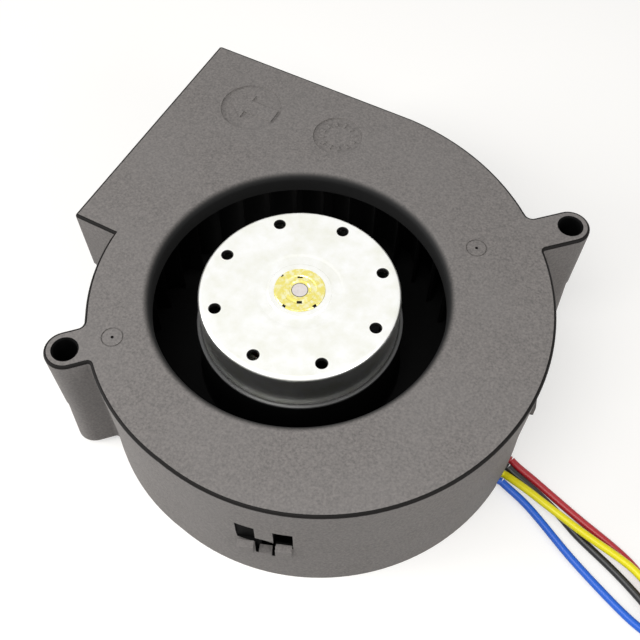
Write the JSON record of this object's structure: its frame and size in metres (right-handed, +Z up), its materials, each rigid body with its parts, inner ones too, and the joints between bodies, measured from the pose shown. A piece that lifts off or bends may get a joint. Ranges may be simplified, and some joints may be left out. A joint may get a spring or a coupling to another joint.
{
  "type": "dc blower fan",
  "caption": "Centrifugal blower: flat scroll housing with a round inlet, square side outlet, external-rotor motor, mounting ears and flying leads ending in a plug.",
  "frame": {"origin": "on the rotor axis, in the standing face under the housing", "axes": "+Z up along the rotor axis towards the inlet, -X out of the outlet, +Y towards the straight side wall"},
  "size_m": [0.1774, 0.112, 0.033],
  "materials": {
    "housing": "fine spark-eroded grain, glass-filled PBT",
    "impeller": "smooth moulded",
    "steel_cup": "zinc-plated deep-drawn sheet",
    "magnet": "bonded ferrite",
    "brass": "turned",
    "steel": "ground",
    "spring_steel": "spring steel",
    "core_steel": "stamped laminations",
    "insulator": "moulded nylon",
    "copper": "enamelled copper wire",
    "board": "solder-masked epoxy glass",
    "chip": "moulded epoxy",
    "can": "drawn can",
    "label": "blank polyester film",
    "lead_red": "extruded PVC",
    "lead_black": "extruded PVC",
    "lead_yellow": "extruded PVC",
    "lead_blue": "extruded PVC",
    "lead_mix": "extruded PVC, four colours",
    "tie": "moulded nylon",
    "connector": "moulded nylon",
    "terminal": "tin-plated bronze"
  },
  "bodies": {
    "housing": {"upper_housing": "housing", "lower_housing": "housing", "bearing_tube": "brass", "upper_bearing_outer": "steel", "upper_bearing_balls": "steel", "lower_bearing_outer": "steel", "lower_bearing_balls": "steel", "stator_core": "core_steel", "upper_insulator": "insulator", "lower_insulator": "insulator", "stator_coil_1": "copper", "stator_coil_2": "copper", "stator_coil_3": "copper", "stator_coil_4": "copper", "circuit_board": "board", "driver_chip": "chip", "power_transistors": "chip", "hall_sensor": "chip", "filter_capacitor": "can", "rear_label": "label", "channel_leads": "lead_mix", "lead_red": "lead_red", "lead_black": "lead_black", "lead_yellow": "lead_yellow", "lead_blue": "lead_blue", "lead_coil": "lead_mix", "coil_tie": "tie", "lead_tails": "lead_mix", "connector_housing": "connector", "connector_terminals": "terminal"},
    "rotor": {"impeller": "impeller", "rotor_cup": "steel_cup", "rotor_magnet": "magnet", "rotor_boss": "brass", "shaft": "steel", "retaining_clip": "spring_steel", "preload_spring": "spring_steel", "upper_bearing_inner": "steel", "lower_bearing_inner": "steel"}
  },
  "joints": [
    {"name": "rotor_spin", "type": "hinge", "parent": "housing", "child": "rotor", "pos_m": [0, 0, 0.02], "axis": [0, 0, 1], "continuous": true}
  ]
}
